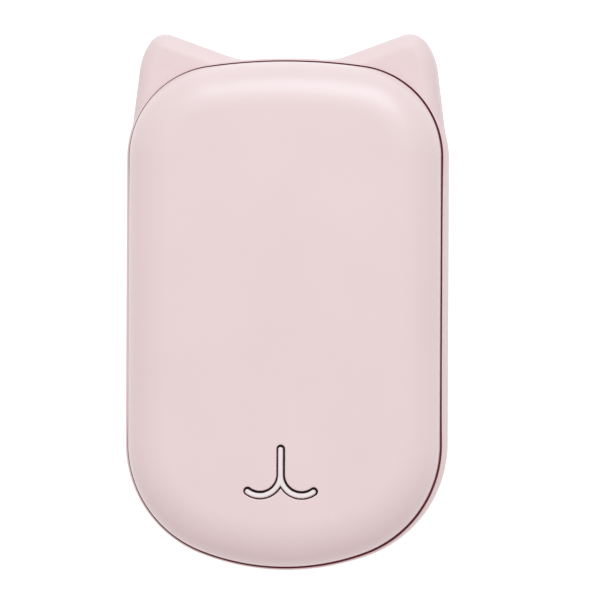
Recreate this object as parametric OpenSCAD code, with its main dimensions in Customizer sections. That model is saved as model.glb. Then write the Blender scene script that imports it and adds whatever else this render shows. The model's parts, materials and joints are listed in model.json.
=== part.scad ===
// Rechargeable hand warmer: two domed shells on a moulded middle frame with two ear
// pads, a pouch cell and a charging board inside, and a heater film behind each shell.
// It lies on its back. +Z is up out of the front cover and +Y points to the ears.
// The origin is under the middle of the whole outline, on the flat of the rear cover.

/* [Case] */
// Width of the middle frame at its widest
case_w = 62; // [58:0.5:70]
// Length of the middle frame without the ears
case_l = 98.85; // [96:0.05:112]
// Thickness over both covers
case_t = 25; // [24:0.5:27]
// Radius of the slightly crowned top end
top_crown_r = 107; // [80:1:160]
// Radius of the two top corners
top_corner_r = 18.4; // [17:0.1:21]
// Radius of the rounded bottom end
bottom_crown_r = 45.4; // [40:0.2:60]
// Radius of the two bottom corners
bottom_corner_r = 23; // [20:0.5:25]

/* [Covers] */
// Wall of the two drawn covers
cover_wall = 1; // [0.8:0.1:1.2]
// Width of the rounded edge zone round the flat middle
edge_w = 9; // [8:0.25:10]
// Straight part of the cover's edge that shows above the frame
edge_lip = 0.6; // [0.3:0.1:1]

/* [Middle frame] */
// Height of the frame between its two lips
band_h = 11.5; // [11:0.25:12]
// How far the frame stands out past the covers
frame_proud = 0.9; // [0.8:0.05:1.2]
// How far the side of the frame bulges
frame_bulge = 0.3; // [0.2:0.05:0.4]
// Wall of the frame, from its widest line to the inside
frame_wall = 3.2; // [3.2:0.1:3.6]
// Depth of the groove that takes a cover's edge
groove_d = 0.6; // [0.4:0.05:0.8]
// Open seam between a cover and the frame's lip
seam_gap = 0.35; // [0.3:0.05:0.4]
// Room behind a cover's edge, inside the groove
groove_gap = 0.4; // [0.3:0.05:0.5]
// Height of the inner locating rim past the lip
rim_h = 1.1; // [0.8:0.05:1.2]
// Thickness of the tray floor
floor_t = 1.2; // [1:0.1:1.4]
// Room beside the bond tape on both sides
tape_gap = 0.05; // [0.02:0.01:0.1]
// Thickness of the bond tape under a cover's edge
bond_t = 0.15; // [0.1:0.05:0.25]

/* [Ears] */
// Height of an ear's tip above the top end of the frame
ear_rise = 4.6; // [3.5:0.1:7]
// Distance of an ear's tip centre from the middle line
ear_x = 23.7; // [21:0.1:24.5]
// Radius of an ear's tip
ear_tip_r = 3.6; // [3.4:0.1:4.5]
// Radius of the shoulder outside the tip
ear_shoulder_r = 12; // [9:0.5:16]
// Slope of an ear's inner edge, in degrees
ear_slope = 20; // [15:1:30]
// Lean of an ear's outer edge, in degrees
ear_lean = 7; // [4:1:12]
// Radius of the rounding round an ear's edge
ear_edge_r = 3.2; // [2:0.1:3.3]

/* [Mouth] */
// Distance of the mouth's arcs from the bottom end of the frame
mouth_up = 18.65; // [17:0.05:22]
// Radius of the centre line of each mouth arc
mouth_arc_r = 4; // [3:0.1:4.2]
// Angle that each mouth arc turns through
mouth_sweep = 126; // [100:1:140]
// Length of the upright stem above the arcs
mouth_stem = 4.85; // [3:0.05:7]
// Width of the cut-out in the cover
mouth_slot_w = 1.85; // [1.7:0.05:2.2]
// Open gap all round the insert
mouth_gap = 0.38; // [0.3:0.01:0.4]
// How far the insert sits below the face of the cover
mouth_sink = 0.15; // [0.05:0.05:0.4]
// Width of the flange behind the cover, past the cut-out
mouth_flange = 1.1; // [0.8:0.1:1.5]
// Thickness of that flange
mouth_flange_t = 0.8; // [0.5:0.1:1]

/* [Cell] */
// Width of the pouch cell
cell_w = 46; // [40:1:47]
// Distance of the cell's upper end from the top end of the frame
cell_end_room = 9.7; // [9.2:0.1:14]
// Rounding of the cell's long edges
cell_edge_r = 3; // [1.5:0.5:4]
// Distance of the cell's lower end from the board's upper edge
cell_board_gap = 5.5; // [5.1:0.1:6.5]
// Room between the cell and the ribs that hold it
cell_gap = 0.3; // [0.1:0.05:0.5]
// Height of those ribs above the tray floor
cell_rib_h = 3; // [2:0.5:5]
// Thickness of those ribs
cell_rib_t = 1; // [0.8:0.1:1.2]
// Width of the protection board on the end of the cell
guard_w = 28; // [24:1:34]
// Height of the protection board
guard_h = 6; // [5:0.5:7]
// Thickness of the protection board
guard_t = 1.1; // [0.8:0.1:1.2]
// Width of a chip on the protection board
guard_chip_w = 2.6; // [2:0.1:3]
// Distance from one of those chips to the next
guard_chip_pitch = 4; // [3.4:0.1:4.4]
// Distance of the red lead from the middle line, to the left
red_lead_x = 8; // [7:0.5:12]
// Distance from the red lead to the black one
cell_lead_pitch = 2.5; // [2:0.1:3]
// Length of the metal tabs between the cell and that board
tab_l = 0.9; // [0.6:0.1:1.2]
// Width of a tab
tab_w = 3.5; // [2.5:0.5:5]

/* [Main board] */
// Thickness of the main board
board_t = 1.2; // [1:0.1:1.2]
// Room between the board's edge and the frame
board_gap = 0.4; // [0.3:0.05:0.8]
// Distance of the board's upper edge from the bottom end of the frame
board_l = 33.1; // [32.6:0.1:33.6]
// Room between the screws' heads and the switch beside them
screw_room = 1.2; // [0.6:0.1:2]
// Distance of the lower screws from the bottom end of the frame
screw_low = 15.2; // [14.5:0.1:16]
// Distance of the upper screws from the board's upper edge
screw_edge = 2.6; // [2.2:0.1:3.6]
// Diameter of a screw's shank
screw_d = 1.5; // [1.2:0.1:1.7]
// Length of a screw under its head
screw_l = 4; // [3:0.25:4.5]
// Diameter of a screw's head
screw_head_d = 3; // [2.6:0.1:3.4]
// Height of a screw's head
screw_head_h = 0.9; // [0.6:0.1:1.2]
// Diameter of a screw boss
boss_d = 4.2; // [3.6:0.1:5]
// Room round a screw's shank in its boss
pilot_gap = 0.03; // [0.02:0.01:0.05]
// Room round a screw's shank in the board
screw_gap = 0.15; // [0.1:0.05:0.2]

/* [Sockets] */
// Depth of the flat pocket round the sockets, from the bottom end of the frame
pocket_d = 2.4; // [2.2:0.1:2.6]
// Height of that pocket
pocket_h = 7.6; // [7:0.1:7.8]
// Room between the outer sides of the sockets and the ends of the pocket
pocket_end = 1.1; // [0.8:0.1:1.2]
// Radius of the pocket's corners
pocket_r = 1.6; // [0.8:0.1:2.4]
// Distance of the output socket from the middle line, to the left
out_x = 6.2; // [5.8:0.1:6.3]
// Width of the output socket's shell
out_w = 13.1; // [12.9:0.1:13.3]
// Height of the output socket's shell
out_h = 5.72; // [5.6:0.01:5.8]
// Length of the output socket's shell
out_l = 14; // [12:0.5:15]
// Distance of the input socket from the middle line, to the right
in_x = 8.6; // [8.2:0.1:8.8]
// Width of the input socket's shell
in_w = 8.94; // [8.8:0.01:9.1]
// Height of the input socket's shell
in_h = 3.16; // [3:0.01:3.3]
// Length of the input socket's shell
in_l = 7.35; // [6.5:0.05:8.5]
// How far a socket's mouth lies behind the floor of the pocket
socket_recess = 0.1; // [0:0.05:0.2]
// Sheet that both shells are folded from
shell_t = 0.3; // [0.2:0.05:0.35]
// Room round a shell in the frame
socket_gap = 0.2; // [0.1:0.05:0.3]

/* [Power button] */
// Distance of the button from the board's upper edge
button_edge = 2.95; // [2.6:0.05:3.3]
// Length of the button along the side
button_l = 7.4; // [6:0.2:8]
// Height of the button
button_h = 3.4; // [2.8:0.1:3.8]
// Radius of the rounding round the button's face
button_edge_r = 0.35; // [0.1:0.05:0.5]
// How far the button stands out past the frame
button_proud = 0.15; // [0.05:0.05:0.8]
// Room all round the button in its hole
button_gap = 0.15; // [0.1:0.01:0.2]
// Travel of the button
button_travel = 0.3; // [0.2:0.05:0.4]
// Thickness of the collar that keeps the button in
collar_t = 0.9; // [0.7:0.05:1]
// Width of that collar past the button
collar_w = 0.7; // [0.5:0.05:0.75]
// Length of the switch along the side
switch_l = 6; // [5:0.2:6.4]
// Depth of the switch
switch_d = 3.6; // [3.4:0.1:4]
// How far the plunger stands out of the switch
plunger_out = 1; // [0.8:0.05:1.2]
// Depth of the hole in the switch for the plunger
switch_hole = 3; // [2.6:0.1:3.2]
// Room round the plunger in that hole
plunger_gap = 0.1; // [0.05:0.01:0.15]
// Room behind the plunger when it is pressed right in
plunger_stop = 0.2; // [0.1:0.05:0.3]
// Room between the collar and its neighbours on both sides
collar_gap = 0.08; // [0.05:0.01:0.1]
// Width and height of the plunger
plunger_w = 1.8; // [1.4:0.1:2.4]

/* [Status lights] */
// Number of status lights
light_n = 4; // [3:1:4]
// Distance from one light to the next
light_pitch = 2.2; // [2:0.05:2.3]
// Distance of the first light from the end of the button's collar
light_below = 2.9; // [2:0.1:3.2]
// Diameter of each light guide post
light_d = 1.2; // [1:0.05:1.4]
// Room round each post in the frame
light_gap = 0.1; // [0.05:0.01:0.15]
// Thickness of the bar that joins the posts
light_bar_t = 1.2; // [1:0.1:1.2]
// Room between that bar and the frame's wall where the wall curves in
light_bar_gap = 0.35; // [0.2:0.05:0.6]
// How far that bar reaches past the posts
light_bar_past = 0.4; // [0.2:0.1:0.5]

/* [Heaters] */
// Thickness of a heater film
film_t = 0.2; // [0.15:0.05:0.3]
// Thickness of the heating track
track_t = 0.1; // [0.05:0.05:0.15]
// Width of the heating track
track_w = 1; // [0.6:0.1:1.4]
// Number of runs in the heating track
track_n = 12; // [8:2:12]
// Distance of the outer runs from the sides of the film
track_side = 4.3; // [3.8:0.1:6]
// Distance of a film's lower edge from the flange of the mouth insert
film_gap = 3; // [2:0.1:4]
// Room between a film and the rounded edge of its cover
film_margin = 0.3; // [0.1:0.1:0.6]
// Distance of the track's runs from the lower edge of the film
track_low = 3; // [2.6:0.1:4]
// Distance of the track's upper ends from the centres of the top corners
track_high = 4.2; // [3:0.1:5]
// Width of the solder pads of the track and the board
solder_pad_w = 2; // [1.6:0.1:2.4]
// How far an insulation pad reaches past the flat of a cover
pad_past = 1.4; // [1:0.1:1.6]
// Diameter of a heater lead
heater_lead_d = 0.9; // [0.7:0.1:1]
// Room round the rear heater's leads where they pass the tray
lead_room = 1.2; // [0.8:0.1:1.4]
// How far a front heater lead is led inwards on its way to the board
front_lead_in = 5; // [4:0.5:6]
// How far a rear heater lead is led inwards on its way to the board
rear_lead_in = 2; // [1.5:0.1:2.5]
// Distance of the leads' joints from the board's upper edge
lead_edge = 1.6; // [1.4:0.1:2]
// Length over which a heater lead runs straight before it bends
lead_straight = 3; // [2:0.5:4]
// Diameter of a lead from the cell
cell_lead_d = 1.3; // [1:0.1:1.5]
// Diameter of the temperature sensor's bead
bead_d = 1.6; // [1.2:0.1:2]
// Length of that bead
bead_l = 2.4; // [2:0.1:3]
// Distance of the sensor from the middle line
sensor_x = 5; // [3:0.5:8]
// Distance of each of the sensor's leads from its middle
sensor_lead_x = 0.6; // [0.5:0.05:0.8]
// Diameter of the sensor's two leads
sensor_lead_d = 0.5; // [0.4:0.05:0.6]

/* [Hidden] */
$fn = 96;

painted_pink = [0.91, 0.83, 0.835];
film_amber = [0.80, 0.45, 0.12];
foam_grey = [0.30, 0.31, 0.33];
foil_silver = [0.78, 0.79, 0.81];
board_green = [0.08, 0.32, 0.17];
part_black = [0.06, 0.06, 0.07];
bright_tin = [0.75, 0.76, 0.78];
copper = [0.72, 0.43, 0.25];

half_w = case_w / 2;
half_l = case_l / 2;
bottom_y = -half_l;
mid_z = case_t / 2;
// The bounding box takes in the ears, so everything is moved down by half their rise
frame_shift = -ear_rise / 2;
eps = 0.01;

// Centres of the outline's arcs; the corners touch the crowns and the straight sides
top_crown_y = half_l - top_crown_r;
bottom_crown_y = -half_l + bottom_crown_r;
top_run = half_w - top_corner_r;
bottom_run = half_w - bottom_corner_r;
top_reach = sqrt(pow(top_crown_r - top_corner_r, 2) - pow(top_run, 2));
bottom_reach = sqrt(pow(bottom_crown_r - bottom_corner_r, 2) - pow(bottom_run, 2));
top_corner_y = top_crown_y + top_reach;
bottom_corner_y = bottom_crown_y - bottom_reach;
top_angle = atan2(top_reach, top_run);
bottom_angle = atan2(bottom_reach, bottom_run);

// Levels of the front half; the rear half mirrors them about the middle
lip_z = mid_z + band_h / 2;
groove_z = lip_z - groove_d;
skirt_z = groove_z + bond_t;
rim_z = lip_z + rim_h;
inner_z = case_t - cover_wall;
edge_drop = case_t - lip_z - edge_lip;
edge_in = frame_proud + edge_w;
bulge_r = (pow(band_h / 2, 2) + pow(frame_bulge, 2)) / (2 * frame_bulge);

// Levels inside the frame
floor_low = case_t - rim_z;
floor_top = floor_low + floor_t;
cell_top = rim_z;
cell_t = cell_top - floor_top;
film_z = inner_z - film_t;
track_z = film_z - track_t;
pad_t = track_z - cell_top;
board_top = mid_z - out_h / 2;
board_low = board_top - board_t;
boss_low = board_top - screw_l - pilot_gap - floor_t;
board_end_y = bottom_y + board_l;
cell_end_y = board_end_y + cell_board_gap;
cell_l = half_l - cell_end_room - cell_end_y;
mouth_y = bottom_y + mouth_up;
film_end_y = mouth_y + mouth_stem + mouth_slot_w / 2 + mouth_flange + film_gap;
pocket_y = bottom_y + pocket_d;

// Tongues inside the sockets: how far back they start, and how far the block behind them reaches
tongue_back = 0.8;
plug_stop = 3;
out_tongue_t = 1.84;
out_tongue_z = out_h - shell_t - 0.72 - out_tongue_t / 2;
in_tongue_t = 0.7;
contact_t = 0.1;

// Places along the left side
wall_x = -(half_w - frame_wall);
collar_x = wall_x + collar_gap;
plunger_x = collar_x + collar_t + collar_gap;
switch_x = plunger_x + plunger_out;
screw_x = -(switch_x + switch_d) - screw_room - screw_head_d / 2;
button_y = board_end_y - button_edge;
light_y = button_y - button_l / 2 - collar_w - light_below;
light_low_y = light_y - (light_n - 1) * light_pitch - light_d / 2 - light_bar_past;
light_dip = max(0, bottom_corner_y - light_low_y);
light_bar_x = light_bar_gap - bottom_run - sqrt(pow(bottom_corner_r - frame_wall, 2) - pow(light_dip, 2));

pad_inset = edge_in - pad_past;
film_inset = edge_in + film_margin;
track_low_y = film_end_y + track_low;
track_high_y = top_corner_y + track_high;
heater_pad_x = half_w - film_inset - track_side;
track_pitch = 2 * heater_pad_x / (track_n - 1);
heater_pad_y = film_end_y + solder_pad_w * 0.8;
front_joint_x = heater_pad_x - front_lead_in;
rear_joint_x = heater_pad_x - rear_lead_in;
heater_joint_y = board_end_y - lead_edge;
cell_joint_y = board_end_y - lead_edge;

// Places on the main board, from the middle line and the bottom end of the frame
inductor_at = [11.5, 18];
inductor_w = 7;
inductor_h = 3;
chips = [[[-14.5, 23], [5, 5, 0.9]], [[2, 22.5], [4, 4, 0.9]], [[18.5, 24.5], [3, 3, 1]]];
capacitor_rows = [[[-9.5, 28], [1.2, 2, 1]], [[8, 24.5], [1.45, 2.4, 1.2]]];
capacitor_n = [5, 3];
capacitor_gap = 1;
light_chip = [0.8, 1.2, 0.8];

// Points of an arc from one angle to another
function arc(c, r, from, to, n) =
    [for (i = [0 : n]) let (a = from + (to - from) * i / n) [c.x + r * cos(a), c.y + r * sin(a)]];
function all_but_ends(list) = [for (i = [1 : len(list) - 2]) list[i]];

// Outline of the frame, moved inwards by an inset
function outline(inset) = concat(
    arc([top_run, top_corner_y], top_corner_r - inset, 0, top_angle, 12),
    all_but_ends(arc([0, top_crown_y], top_crown_r - inset, top_angle, 180 - top_angle, 8)),
    arc([-top_run, top_corner_y], top_corner_r - inset, 180 - top_angle, 180, 12),
    arc([-bottom_run, bottom_corner_y], bottom_corner_r - inset, 180, 180 + bottom_angle, 11),
    all_but_ends(arc([0, bottom_crown_y], bottom_crown_r - inset, 180 + bottom_angle,
        360 - bottom_angle, 10)),
    arc([bottom_run, bottom_corner_y], bottom_corner_r - inset, 360 - bottom_angle, 360, 11));

function bezier(p, t) = pow(1 - t, 3) * p[0] + 3 * pow(1 - t, 2) * t * p[1]
    + 3 * (1 - t) * t * t * p[2] + t * t * t * p[3];
function unit(v) = v / norm(v);

// Puts a child in place: the arcs are worked out about the middle of the frame
module place() { translate([0, frame_shift, 0]) children(); }

// The same form on the back of the case
module rear() { translate([0, 0, case_t]) mirror([0, 0, 1]) children(); }

module both_sides() {
    children();
    mirror([1, 0, 0]) children();
}

// Skins a stack of outlines: each level is a height and the points at that height
module loft(levels) {
    n = len(levels[0][1]);
    m = len(levels);
    points = [for (level = levels) for (p = level[1]) [p.x, p.y, level[0]]];
    sides = [for (i = [0 : m - 2], k = [0 : n - 1]) let (a = i * n + k, b = i * n + (k + 1) % n)
        [a, a + n, b + n, b]];
    polyhedron(points, concat([[for (k = [0 : n - 1]) k]], sides,
        [[for (k = [n - 1 : -1 : 0]) (m - 1) * n + k]]));
}

// A flat plate with the case's outline
module plate(inset, low, high) {
    translate([0, 0, low]) linear_extrude(high - low) polygon(outline(inset));
}

// The ring between two insets
module ring(outer, inner, low, high) {
    difference() {
        plate(outer, low, high);
        plate(inner, low - 1, high + 1);
    }
}

module rounded_rect(w, h, r) {
    square([w - 2 * r, h], center = true);
    square([w, h - 2 * r], center = true);
    for (x = [-1, 1], y = [-1, 1])
        translate([x * (w / 2 - r), y * (h / 2 - r)]) circle(r);
}

module pill(w, h) {
    square([w - h, h], center = true);
    for (x = [-1, 1]) translate([x * (w - h) / 2, 0]) circle(h / 2);
}

// Outline of a pill, for a loft whose levels shrink
function pill_outline(w, h) = concat(arc([(w - h) / 2, 0], h / 2, -90, 90, 14),
    arc([(h - w) / 2, 0], h / 2, 90, 270, 14));

module block(x, y, z) { translate([0, 0, z / 2]) cube([x, y, z], center = true); }

// A round lead along a cubic curve, as rings of eight points
module lead(p, d, n = 12) {
    side = cross(unit(p[1] - p[0]), [1, 0, 0]);
    rings = [for (i = [0 : n]) let (c = bezier(p, i / n),
            ahead = i == 0 ? unit(p[1] - p[0]) : i == n ? unit(p[3] - p[2])
                : unit(bezier(p, (i + 0.2) / n) - bezier(p, (i - 0.2) / n)),
            u = unit(cross(ahead, [1, 0, 0])), v = cross(ahead, u))
        for (k = [0 : 7]) c + d / 2 * (cos(k * 45) * u + sin(k * 45) * v)];
    faces = concat([[for (k = [0 : 7]) k]],
        [for (i = [0 : n - 1], k = [0 : 7]) let (a = i * 8 + k, b = i * 8 + (k + 1) % 8)
            [a, a + 8, b + 8, b]],
        [[for (k = [7 : -1 : 0]) n * 8 + k]]);
    polyhedron(rings, faces);
}

// Solid inside a cover's outer face, or inside its inner face when sunk by the wall. Its
// rounded edge is a quarter of an ellipse: upright at the frame and level at the flat
module dome(sunk, low, steps) {
    loft(concat([[low, outline(frame_proud + sunk)]],
        [for (i = [0 : steps]) let (a = 90 * i / steps)
            [case_t - edge_drop + (edge_drop - sunk) * sin(a),
                outline(edge_in - (edge_w - sunk) * cos(a))]]));
}

module cover() {
    difference() {
        dome(0, skirt_z, 12);
        dome(cover_wall, skirt_z - 1, 8);
    }
}

// Outline of the mouth's stem and two arcs, grown sideways to a given width
function mouth_outline(w) =
    let (r = mouth_arc_r, end = 180 + mouth_sweep, cusp = 180 + acos(r / (r + w / 2)),
        inner = arc([r, 0], r - w / 2, 180, end, 14),
        tip = all_but_ends(arc([r + r * cos(end), r * sin(end)], w / 2, end + 180, end, 8)),
        outer = arc([r, 0], r + w / 2, end, cusp, 14),
        right = concat(inner, tip, outer),
        left = [for (i = [len(right) - 2 : -1 : 0]) [-right[i].x, right[i].y]])
    concat(arc([0, mouth_stem], w / 2, 180, 0, 8), right, left);

module mouth(w, low, high) {
    translate([0, mouth_y, low]) linear_extrude(high - low) polygon(mouth_outline(w));
}

module front_cover() {
    color(painted_pink) place() difference() {
        cover();
        mouth(mouth_slot_w, inner_z - 1, case_t + 1);
    }
}

module rear_cover() {
    color(painted_pink) place() rear() cover();
}

module mouth_insert() {
    color(painted_pink) place() {
        mouth(mouth_slot_w - 2 * mouth_gap, inner_z - mouth_flange_t / 2, case_t - mouth_sink);
        mouth(mouth_slot_w + 2 * mouth_flange, inner_z - mouth_flange_t, inner_z);
    }
}

// The band's outer form, with its bulged side
module band() {
    steps = 6;
    loft([for (i = [0 : steps]) let (z = band_h * (i / steps - 0.5))
        [mid_z + z, outline(bulge_r - sqrt(bulge_r * bulge_r - z * z))]]);
}

// Outline of the right ear, moved inwards by an inset; its base lies inside the band
function ear_outline(inset) =
    let (turn = 35, facing = 90 + ear_slope, root_l = 14, foot_l = 13,
        tip = [ear_x, half_l + ear_rise - ear_tip_r],
        shoulder = tip - (ear_shoulder_r - ear_tip_r) * [cos(turn), sin(turn)],
        outer = arc(shoulder, ear_shoulder_r - inset, ear_lean, turn, 5),
        inner = arc(tip, ear_tip_r - inset, turn, facing, 8),
        foot = outer[0] + foot_l * [sin(ear_lean), -cos(ear_lean)],
        root = inner[len(inner) - 1] + root_l * [-sin(facing), cos(facing)])
    concat([foot], outer, [for (i = [1 : len(inner) - 1]) inner[i]], [root]);

// An ear pad as thick as the band, rounded all round its edge
module ear() {
    flat = band_h / 2 - ear_edge_r;
    steps = 6;
    edge = [for (i = [0 : steps]) let (a = 90 * i / steps)
        [flat + ear_edge_r * sin(a), ear_outline(ear_edge_r * (1 - cos(a)))]];
    loft(concat([for (i = [steps : -1 : 0]) [mid_z - edge[i][0], edge[i][1]]],
        [for (level = edge) [mid_z + level[0], level[1]]]));
}

module screw_places() {
    both_sides() for (y = [bottom_y + screw_low, board_end_y - screw_edge])
        translate([screw_x, y, 0]) children();
}

module light_places() {
    for (i = [0 : light_n - 1]) translate([0, light_y - i * light_pitch, 0]) children();
}

// Low ribs on the tray floor round the cell, open at the end with the tabs
module cell_ribs() {
    x = cell_w / 2 + cell_gap;
    side_l = cell_l * 0.85;
    corner_l = cell_w / 8;
    end_l = cell_w / 3;
    both_sides() translate([x, cell_end_y + 2 * cell_rib_t, floor_top - eps])
        cube([cell_rib_t, side_l, cell_rib_h]);
    both_sides() translate([x - corner_l, cell_end_y - cell_gap - cell_rib_t, floor_top - eps])
        cube([corner_l, cell_rib_t, cell_rib_h]);
    translate([-end_l / 2, cell_end_y + cell_l + cell_gap, floor_top - eps])
        cube([end_l, cell_rib_t, cell_rib_h]);
}

module frame_body() {
    difference() {
        union() {
            band();
            both_sides() ear();
        }
        plate(frame_wall, -1, case_t);
        plate(frame_proud - seam_gap, groove_z, case_t);
        plate(frame_proud - seam_gap, -1, case_t - groove_z);
    }
    ring(frame_proud + cover_wall + groove_gap, frame_wall, floor_low, rim_z);
    plate(frame_wall - 0.3, floor_low, floor_top);
    cell_ribs();
    screw_places() translate([0, 0, boss_low]) cylinder(d = boss_d, h = board_low - boss_low);
}

module middle_frame() {
    color(painted_pink) place() difference() {
        frame_body();
        // Flat pocket in the bottom end and the two openings for the sockets
        translate([(in_x + in_w / 2 - out_x - out_w / 2) / 2, pocket_y, mid_z]) rotate([90, 0, 0])
            linear_extrude(10) rounded_rect(out_x + in_x + (out_w + in_w) / 2 + 2 * pocket_end,
                pocket_h, pocket_r);
        translate([-out_x, bottom_y + 6, board_top + out_h / 2]) rotate([90, 0, 0])
            linear_extrude(10) square([out_w + 2 * socket_gap, out_h + 2 * socket_gap], center = true);
        translate([in_x, bottom_y + 6, board_top + in_h / 2]) rotate([90, 0, 0])
            linear_extrude(10) pill(in_w + 2 * socket_gap, in_h + 2 * socket_gap);
        // Hole for the button
        translate([-half_w - 1, button_y, mid_z]) rotate([90, 0, 90])
            linear_extrude(frame_wall + 2) pill(button_l + 2 * button_gap, button_h + 2 * button_gap);
        // Holes for the light guide's posts
        light_places() translate([-half_w - 1, 0, mid_z]) rotate([0, 90, 0])
            cylinder(d = light_d + 2 * light_gap, h = half_w + 1 + light_bar_x);
        // Pilot holes for the board's screws
        screw_places() translate([0, 0, board_top - screw_l - pilot_gap])
            cylinder(d = screw_d + 2 * pilot_gap, h = screw_l);
        // Way through the tray floor for the rear heater's leads
        both_sides() translate([rear_joint_x, heater_joint_y, floor_low - 1])
            cylinder(d = heater_lead_d + 2 * lead_room, h = floor_t + 2);
    }
}

module bond_tape() {
    ring(frame_proud + tape_gap, frame_proud + cover_wall - tape_gap, groove_z, skirt_z);
}

module front_bond_tape() { color("white") place() bond_tape(); }
module rear_bond_tape() { color("white") place() rear() bond_tape(); }

module heater_film() {
    intersection() {
        plate(film_inset, film_z, inner_z);
        translate([-half_w, film_end_y, 0]) cube([case_w, case_l, case_t]);
    }
}

// One unbroken track: runs up and down, joined at alternate ends, with a pad at each end
module heater_track() {
    translate([0, 0, track_z]) {
        for (i = [0 : track_n - 1]) translate([(i - (track_n - 1) / 2) * track_pitch, 0, 0]) {
            translate([-track_w / 2, track_low_y, 0]) cube([track_w, track_high_y - track_low_y, track_t]);
            if (i < track_n - 1)
                translate([-track_w / 2, i % 2 == 0 ? track_high_y - track_w : track_low_y, 0])
                    cube([track_pitch + track_w, track_w, track_t]);
        }
        both_sides() translate([heater_pad_x - solder_pad_w / 2, heater_pad_y - solder_pad_w / 2, 0])
            cube([solder_pad_w, track_low_y - heater_pad_y + solder_pad_w / 2 + track_w, track_t]);
    }
}

module front_heater_film() { color(film_amber) place() heater_film(); }
module front_heater_track() { color(copper) place() heater_track(); }
module rear_heater_film() { color(film_amber) place() rear() heater_film(); }
module rear_heater_track() { color(copper) place() rear() heater_track(); }

module insulation_pad() {
    intersection() {
        plate(pad_inset, cell_top, track_z);
        translate([-half_w, cell_end_y + 1, 0]) cube([case_w, cell_l - 2, case_t]);
    }
}

module front_insulation_pad() { color(foam_grey) place() insulation_pad(); }
module rear_insulation_pad() { color(foam_grey) place() rear() insulation_pad(); }

module battery_cell() {
    color(foil_silver) place() translate([0, cell_end_y + cell_l, floor_top + cell_t / 2])
        rotate([90, 0, 0]) linear_extrude(cell_l) rounded_rect(cell_w, cell_t, cell_edge_r);
}

module battery_tabs() {
    color(bright_tin) place() both_sides()
        translate([guard_w / 3, cell_end_y - tab_l / 2, mid_z]) block(tab_w, tab_l, 0.2);
}

module protection_board() {
    color(board_green) place() translate([0, cell_end_y - tab_l - guard_t / 2, mid_z - guard_h / 2])
        block(guard_w, guard_t, guard_h);
}

module protection_chips() {
    chip_h = guard_h * 0.4;
    chip_t = guard_t * 0.7;
    color(part_black) place() for (i = [1 : 3]) translate([i * guard_chip_pitch,
        cell_end_y - tab_l - guard_t - chip_t / 2, mid_z - chip_h / 2])
        block(guard_chip_w, chip_t, chip_h);
}

module battery_lead(x) {
    face_y = cell_end_y - tab_l - guard_t;
    bend = 2.2;
    lead([[x, face_y, mid_z], [x, face_y - bend, mid_z], [x, cell_joint_y, mid_z + bend / 2],
        [x, cell_joint_y, board_top]], cell_lead_d);
}

module battery_lead_red() { color("red") place() battery_lead(-red_lead_x); }
module battery_lead_black() { color(part_black) place() battery_lead(cell_lead_pitch - red_lead_x); }

module front_heater_leads() {
    color(foil_silver) place() both_sides()
        lead([[heater_pad_x, heater_pad_y, track_z],
            [heater_pad_x, heater_pad_y, track_z - 2 * lead_straight],
            [front_joint_x, heater_joint_y, board_top + 2 * lead_straight],
            [front_joint_x, heater_joint_y, board_top]], heater_lead_d);
}

module rear_heater_leads() {
    rear_track_z = case_t - track_z;
    color(foil_silver) place() both_sides()
        lead([[heater_pad_x, heater_pad_y, rear_track_z],
            [heater_pad_x, heater_pad_y, rear_track_z + lead_straight],
            [rear_joint_x, heater_joint_y, board_low - lead_straight],
            [rear_joint_x, heater_joint_y, board_low]], heater_lead_d);
}

// A glass bead on the front film, with its two thin leads
module temperature_sensor() {
    bead_y = film_end_y + bead_d;
    bead_z = film_z - bead_d / 2;
    color(part_black) place() translate([sensor_x, 0, 0]) {
        translate([0, bead_y, bead_z]) rotate([0, 90, 0])
            cylinder(d = bead_d, h = bead_l, center = true);
        both_sides() lead([[sensor_lead_x, bead_y, bead_z - bead_d / 4],
            [sensor_lead_x, bead_y, bead_z - 2 * lead_straight],
            [sensor_lead_x, heater_joint_y, board_top + 2 * lead_straight],
            [sensor_lead_x, heater_joint_y, board_top]], sensor_lead_d);
    }
}

module main_board() {
    color(board_green) place() difference() {
        intersection() {
            plate(frame_wall + board_gap, board_low, board_top);
            translate([-half_w, bottom_y, 0]) cube([case_w, board_l, case_t]);
        }
        screw_places() translate([0, 0, board_low - 1])
            cylinder(d = screw_d + 2 * screw_gap, h = board_t + 2);
    }
}

module board_screws() {
    color(bright_tin) place() screw_places() {
        translate([0, 0, board_top]) difference() {
            cylinder(d = screw_head_d, h = screw_head_h);
            for (a = [0, 90]) rotate([0, 0, a]) translate([0, 0, screw_head_h / 2])
                block(screw_head_d * 0.6, screw_head_d * 0.12, screw_head_h);
        }
        translate([0, 0, board_top - screw_l]) cylinder(d = screw_d, h = screw_l + eps);
    }
}

// Places a socket's cross-section so that it runs inwards from its mouth in the pocket
module socket(x, z, from, to) {
    translate([x, pocket_y + socket_recess + to, board_top + z]) rotate([90, 0, 0])
        linear_extrude(to - from) children();
}

// The inside of a socket's shell, cut square at the back
module output_inside() { square([out_w - 2 * shell_t, out_h - 2 * shell_t], center = true); }
module input_inside() { pill(in_w - 2 * shell_t, in_h - 2 * shell_t); }

module output_socket_shell() {
    color(bright_tin) place() difference() {
        socket(-out_x, out_h / 2, 0, out_l) square([out_w, out_h], center = true);
        socket(-out_x, out_h / 2, -1, out_l - shell_t) output_inside();
        // Windows of the shell's spring fingers
        for (x = [-1, 1]) translate([-out_x + x * out_w / 5, pocket_y + out_l * 0.4, board_top + out_h / 2])
            block(out_w / 6.5, out_l / 4, out_h);
    }
}

module output_socket_tongue() {
    color(part_black) place() {
        socket(-out_x, out_tongue_z, tongue_back, out_l - shell_t - eps)
            square([out_w - 2, out_tongue_t], center = true);
        socket(-out_x, out_h / 2, out_l - shell_t - plug_stop, out_l - shell_t) output_inside();
    }
}

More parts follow.
